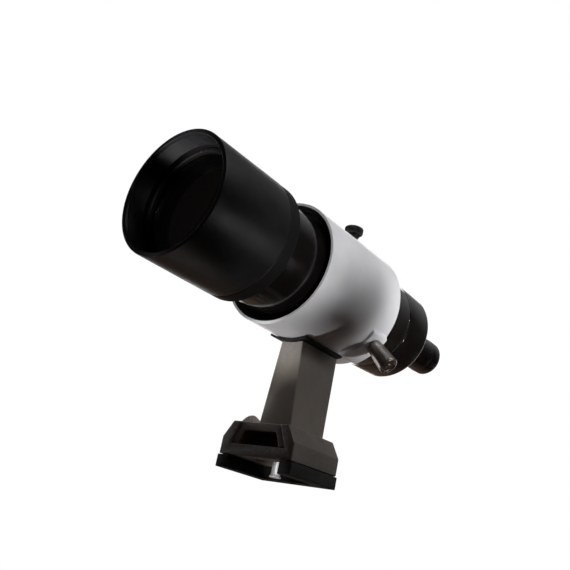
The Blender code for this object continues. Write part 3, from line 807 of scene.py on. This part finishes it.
def build_o_ring():
    steps = 20
    cord = 1.45
    outline = []
    for step in range(steps):
        angle = 2 * math.pi * step / steps
        outline.append((82.2 + cord * math.sin(angle), 28.4 + cord * math.cos(angle)))
    return give(lathe("tilt_o_ring", outline), "front_o_ring")


# ---------------------------------------------------------------- shoe

CLAMP_AXIS = Vector((-8.0, 0, 5.1)).normalized()
CLAMP_MIDDLE = Vector((-19.65, 9.6, 18.6)) * MM


def build_shoe():
    """Block with sloping shoulders, a dovetail channel, and a square recess underneath."""
    shoulder = 14.6
    underside = 6.3
    right = [
        (SHOE_HALF_WIDTH, underside), (SHOE_HALF_WIDTH, shoulder), (17.1, SHOE_TOP),
        (CHANNEL_HALF_MOUTH, SHOE_TOP), (CHANNEL_HALF_WIDTH, CHANNEL_FLOOR),
    ]
    left = [(-x, z) for x, z in right]
    outline = [left[0], *right, *reversed(left[1:])]
    shoe = finish_mesh(prism_mesh(outline, -SHOE_HALF_LENGTH, SHOE_HALF_LENGTH), "shoe_casting")
    recess = finish_mesh(box_mesh((-9.5, -9.5, 0), (9.5, 9.5, 8.9)), "cutter")
    combine(shoe, recess, "DIFFERENCE")
    bevel(shoe, 0.6, 4)
    for side in (-1, 1):
        hole = [(0, 0), (0, 2.3), (8.9, 2.3), (8.9, 3.9), (14, 3.9), (14, 0)]
        cutter = finish_mesh(lathe_mesh(hole, 48, closed=False), "cutter")
        cutter.data.transform(Matrix.Translation((0, side * SHOE_SCREW_OFFSET * MM, 0)))
        combine(shoe, cutter, "DIFFERENCE")
    combine(shoe, cylinder_cutter(8, 10.9, 2.6), "DIFFERENCE")
    combine(shoe, place(cylinder_cutter(-12, 12, 2.7), CLAMP_MIDDLE, CLAMP_AXIS), "DIFFERENCE")
    shoe.data.set_sharp_from_angle(angle=math.radians(CASTING_ANGLE))
    return give(shoe, "shoe")


def build_clamp():
    """Heights are distances along the screw from the middle of its hole."""
    head = [
        (7.8, 0, 0), (7.8, 4.7, 0), (8.3, 5.4, 1), (8.6, 5.6, 1), (14.9, 5.6, 1), (15.4, 5.3, 1),
        (15.7, 4.7, 0), (15.8, 4.2, 0), (15.5, 0, 0),
    ]
    shank = [
        (-3.2, 0), (-3.2, 2.1), (-2.9, 2.4), (6.2, 2.4), (6.2, 3.5, 0.2), (8.1, 3.5), (8.1, 0),
    ]
    knob = join_knob(head, 34, 0.42, shank, "clamp_thumbscrew")
    return give(place(knob, CLAMP_MIDDLE, CLAMP_AXIS), "clamp_screw")


def build_stud():
    outline = [(0, 0), (0, 3.0, 0.2), (0.5, 3.0, 0.2), (1.3, 2.3, 0.5), (10.5, 2.3), (10.5, 0)]
    obj = finish_mesh(lathe_mesh(outline, 64, closed=False), "bright_locating_stud")
    return give(obj, "locating_stud")


def build_pad():
    """U-shaped pad under the shoe, open to the front."""
    half = 22.9
    arm = 7.4
    block = box_mesh((-half, -SHOE_HALF_LENGTH, 0), (half, SHOE_HALF_LENGTH, PAD_HEIGHT))
    pad = finish_mesh(block, "shoe_saddle_pad")
    gap = box_mesh((arm - half, -30, -1), (half - arm, 10, PAD_HEIGHT + 2))
    combine(pad, finish_mesh(gap, "cutter"), "DIFFERENCE")
    bevel(pad, 0.3)
    hole = cylinder_cutter(-1, 8, 2.4)
    hole.data.transform(Matrix.Translation((0, SHOE_SCREW_OFFSET * MM, 0)))
    combine(pad, hole, "DIFFERENCE")
    return give(pad, "saddle_pad")


build_dew_shield()
build_retainer()
build_lenses()
build_lock_ring()
build_main_tube()
build_rear_cap()
build_eyepiece()
build_ring()
build_stalk()
build_gasket()
build_plunger()
build_thumbscrew("top_thumbscrew", "top_screw", 90)
build_thumbscrew("side_thumbscrew", "side_screw", 180)
build_o_ring()
build_shoe()
build_clamp()
build_stud()
build_pad()

# the CAD nodes that stay get their slot's material
for node, obj in nodes.items():
    obj.data.materials.clear()
    obj.data.materials.append(MATERIALS[slot_of[node]])
    smooth(obj, CASTING_ANGLE)


# ---------------------------------------------------------------- camera, floor and light

CAMERA_PLACE = Vector((0.2387, -0.29357, -0.0325))
CAMERA_RIGHT = Vector((0.77935, 0.59525, 0.19565)).normalized()
CAMERA_UP = Vector((0.05354, -0.37438, 0.92573)).normalized()
CAMERA_BACK = CAMERA_RIGHT.cross(CAMERA_UP).normalized()


def build_camera():
    """A normal lens, from the front right and a little below the object."""
    data = bpy.data.cameras.new("camera")
    data.sensor_width = 36.0
    data.lens = 48.47
    data.clip_start = 0.01
    camera = bpy.data.objects.new("camera", data)
    bpy.context.scene.collection.objects.link(camera)
    turn = Matrix((CAMERA_RIGHT, CAMERA_UP, CAMERA_BACK)).transposed().to_4x4()
    camera.matrix_world = Matrix.Translation(CAMERA_PLACE) @ turn
    bpy.context.scene.camera = camera


def choose(tree, factor, first, second, output):
    """Sends one of two shaders to the output: the first where the factor is 0, the second where it is 1."""
    mix = tree.nodes.new("ShaderNodeMixShader")
    tree.links.new(factor, mix.inputs["Fac"])
    tree.links.new(first, mix.inputs[1])
    tree.links.new(second, mix.inputs[2])
    tree.links.new(mix.outputs["Shader"], output.inputs["Surface"])


def build_floor():
    """A pale floor under the object; from underneath it lets the camera see past it."""
    half = 3.0
    gap = 0.3 * MM
    mesh = bpy.data.meshes.new("floor")
    corners = [(-half, -half, 0), (half, -half, 0), (half, half, 0), (-half, half, 0)]
    mesh.from_pydata(corners, [], [(0, 1, 2, 3)])
    floor = link("floor", mesh)
    floor.location.z = cad_box[0][2] - gap
    made, tree, shader = new_material("pale_floor")
    shader.inputs["Base Color"].default_value = (0.82, 0.82, 0.82, 1)
    shader.inputs["Roughness"].default_value = 0.9
    clear = tree.nodes.new("ShaderNodeBsdfTransparent")
    geometry = tree.nodes.new("ShaderNodeNewGeometry")
    choose(tree, geometry.outputs["Backfacing"], shader.outputs["BSDF"], clear.outputs["BSDF"],
           tree.nodes["Material Output"])
    mesh.materials.append(made)
    floor.visible_diffuse = False
    floor.visible_glossy = False
    floor.visible_transmission = False
    floor.visible_shadow = False


# light of the room by how far a direction turns to the backdrop (its cosine)
ROOM = (
    (-1.0, (0.018, 0.015, 0.013)), (0.35, (0.024, 0.021, 0.019)), (0.60, (0.17, 0.168, 0.165)),
    (0.78, (0.24, 0.24, 0.24)), (0.90, (0.16, 0.16, 0.16)), (1.0, (2.9, 2.9, 2.95)),
)
WOOD_DARK = (0.28, 0.17, 0.12)
WOOD_LIGHT = (0.80, 0.56, 0.44)
HORIZON_BLUR = 0.07


def room_colour(tree, directions):
    """A bright backdrop behind the object and a dim room round it."""
    facing = vector_math(tree, "DOT_PRODUCT", directions, -CAMERA_BACK)
    ramp = tree.nodes.new("ShaderNodeValToRGB")
    elements = ramp.color_ramp.elements
    while len(elements) < len(ROOM):
        elements.new(0.5)
    for element, (cosine, colour) in zip(elements, ROOM):
        element.position = (cosine + 1) / 2
        element.color = (*colour, 1)
    tree.links.new(spread(tree, facing.outputs["Value"], 0, 1, -1, 1), ramp.inputs["Fac"])
    return ramp.outputs["Color"]


def ground_tint(tree, directions):
    """White above the horizon and a grained brown below it."""
    height = tree.nodes.new("ShaderNodeSeparateXYZ")
    tree.links.new(directions, height.inputs["Vector"])
    grain = noise(tree, directions, 9.0, 5.0, 0.6, (1.0, 1.0, 5.0))
    wood = blend_colours(tree, spread(tree, grain, 0, 1), WOOD_DARK, WOOD_LIGHT)
    above = spread(tree, height.outputs["Z"], 0, 1, -HORIZON_BLUR, 0.0)
    return mix_in(tree, above, wood, (1, 1, 1, 1))


def build_world():
    """The room lights the object; the camera sees plain white."""
    world = bpy.data.worlds.new("studio")
    bpy.context.scene.world = world
    world.use_nodes = True
    tree = world.node_tree
    tree.nodes.clear()
    directions = tree.nodes.new("ShaderNodeTexCoord").outputs["Generated"]
    colour = vector_math(tree, "MULTIPLY", room_colour(tree, directions), ground_tint(tree, directions))
    lit = tree.nodes.new("ShaderNodeBackground")
    tree.links.new(colour.outputs["Vector"], lit.inputs["Color"])
    seen = tree.nodes.new("ShaderNodeBackground")
    seen.inputs["Color"].default_value = (1, 1, 1, 1)
    path = tree.nodes.new("ShaderNodeLightPath")
    choose(tree, path.outputs["Is Camera Ray"], lit.outputs["Background"], seen.outputs["Background"],
           tree.nodes.new("ShaderNodeOutputWorld"))


WHITE = (1, 1, 1)
WARM = (1.0, 0.92, 0.85)


def place_light(name, kind, target, direction, distance, power, colour=WHITE):
    """A light at this distance (mm) and direction from a target (mm), aimed at it."""
    data = bpy.data.lights.new(name, kind)
    data.energy = power
    data.color = colour
    light = bpy.data.objects.new(name, data)
    bpy.context.scene.collection.objects.link(light)
    target = Vector(target) * MM
    offset = Vector(direction).normalized() * distance * MM
    light.location = target + offset
    light.rotation_euler = (-offset).to_track_quat("-Z", "Y").to_euler()
    light.visible_camera = False
    return light


def soft_box(name, target, direction, distance, size, power, colour=WHITE):
    """A rectangular light of this size (mm)."""
    light = place_light(name, "AREA", target, direction, distance, power, colour)
    light.data.shape = "RECTANGLE"
    light.data.size = size[0] * MM
    light.data.size_y = size[1] * MM
    return light


def spot(name, target, direction, distance, reach, soft, power):
    """A spot whose round pool of light has this reach (mm) at the target, fading from its middle."""
    light = place_light(name, "SPOT", target, direction, distance, power)
    light.data.spot_size = 2 * math.atan(reach / distance)
    light.data.spot_blend = 1.0
    light.data.shadow_soft_size = soft * MM
    return light


def build_lights():
    """Four large boxes shape the whole, and narrow spots lift single parts."""
    middle_of_tube = (0, 0, 90)
    large = (420, 420)
    soft_box("upper_right_box", middle_of_tube, (0.6, 0.0, 0.8), 700, large, 1.84)
    soft_box("left_box", middle_of_tube, (-1, 0, 0), 700, large, 1.75)
    soft_box("back_box", middle_of_tube, (0, 1, 0), 700, large, 0.55)
    soft_box("low_back_box", middle_of_tube, (-0.3, 0.3, -0.9), 700, large, 0.32, WARM)
    spot("front_right_spot", (27, -52, 92), (0.75, -0.35, -0.45), 500, 44, 8, 7.7)
    spot("ring_top_spot", (22, -5, 125), (0.7, -0.1, 0.7), 500, 40, 8, 4.55)
    spot("front_low_spot", (-14, -20, 68), (-0.6, -0.3, -0.75), 500, 40, 8, 5.5)
    spot("rear_right_spot", (20, 50, 90), (0.78, 0.25, -0.30), 500, 42, 8, 8.0)
    spot("rear_top_spot", (28, 45, 112), (0.95, 0.15, 0.3), 500, 36, 8, 4.25)
    spot("post_top_spot", (-1, -8, 62), (0, -1, 0), 500, 18, 6, 5.6)
    spot("post_spot", (-1, -8, 46), (0, -1, 0), 500, 26, 6, 0.42)
    spot("mouth_spot", (1, -99, 126), (0.10, -0.68, -0.72), 400, 18, 6, 18)
    spot("retainer_spot", (-24, -94, 104), (0.45, -0.85, 0.1), 400, 8, 6, 4)
    spot("knob_spot", (-29, 9.6, 30), (0.62, -0.77, 0.15), 400, 7, 6, 5)
    spot("stud_spot", (0, 0, 3), (0.60, -0.76, -0.22), 400, 5, 6, 14)
    # a soft reflection along the barrel, with no light of its own on matt parts
    sheen = soft_box("barrel_sheen", (27, -99, 90), (0.72, 0.62, -0.27), 260, (60, 80), 0.05)
    sheen.visible_diffuse = False


build_camera()
build_floor()
build_world()
build_lights()
scene = bpy.context.scene
scene.view_settings.view_transform = "Standard"
scene.view_settings.look = "None"
